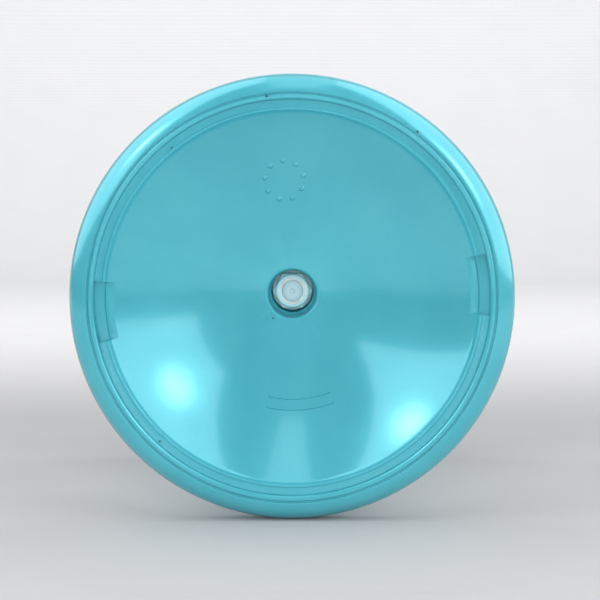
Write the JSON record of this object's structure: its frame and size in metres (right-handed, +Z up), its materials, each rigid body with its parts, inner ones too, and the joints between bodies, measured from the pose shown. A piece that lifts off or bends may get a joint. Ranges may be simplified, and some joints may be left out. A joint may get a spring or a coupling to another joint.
{
  "type": "diabolo",
  "caption": "Juggling diabolo: a pair of flexible round cups clamped on a steel spindle, with a grooved string hub that spins freely between them.",
  "frame": {"origin": "middle of the axle, on its centre line, midway between the two lips", "axes": "+Y along the axle towards the rear cup, the front cup opens towards -Y, +Z up as the diabolo lies on its side on both lips"},
  "size_m": [0.125, 0.13, 0.125],
  "materials": {
    "cup_plastic": "satin",
    "flange_alloy": "satin",
    "hub_alloy": "satin",
    "zinc_steel": "satin",
    "spindle_steel": "satin",
    "bearing_steel": "polished",
    "shield_steel": "satin",
    "shim_brass": "satin",
    "nylon": "satin",
    "cage_nylon": "matte"
  },
  "bodies": {
    "spinner": {"front_cup": "cup_plastic", "rear_cup": "cup_plastic", "front_cup_flange": "flange_alloy", "rear_cup_flange": "flange_alloy", "front_washer": "zinc_steel", "rear_washer": "zinc_steel", "front_lock_nut": "zinc_steel", "rear_lock_nut": "zinc_steel", "front_nut_insert": "nylon", "rear_nut_insert": "nylon", "front_spacer": "shim_brass", "rear_spacer": "shim_brass", "front_bearing_inner_ring": "bearing_steel", "rear_bearing_inner_ring": "bearing_steel", "spindle": "spindle_steel"},
    "hub": {"hub_sleeve": "hub_alloy", "front_bearing_outer_ring": "bearing_steel", "rear_bearing_outer_ring": "bearing_steel", "front_bearing_shields": "shield_steel", "rear_bearing_shields": "shield_steel", "clutch_shell": "bearing_steel", "clutch_rollers": "bearing_steel", "clutch_cage": "cage_nylon"},
    "front_ball_set": {"front_bearing_balls": "bearing_steel", "front_ball_cage": "cage_nylon"},
    "rear_ball_set": {"rear_bearing_balls": "bearing_steel", "rear_ball_cage": "cage_nylon"}
  },
  "joints": [
    {"name": "hub_spin", "type": "hinge", "parent": "spinner", "child": "hub", "pos_m": [0, 0, 0], "axis": [0, 1, 0], "continuous": true},
    {"name": "front_balls_spin", "type": "hinge", "parent": "spinner", "child": "front_ball_set", "pos_m": [0, -0.009, 0], "axis": [0, 1, 0], "continuous": true},
    {"name": "rear_balls_spin", "type": "hinge", "parent": "spinner", "child": "rear_ball_set", "pos_m": [0, 0.009, 0], "axis": [0, 1, 0], "continuous": true}
  ],
  "couplings": [
    {"joint": "front_balls_spin", "follows": "hub_spin", "ratio": 0.6133},
    {"joint": "rear_balls_spin", "follows": "hub_spin", "ratio": 0.6133}
  ]
}
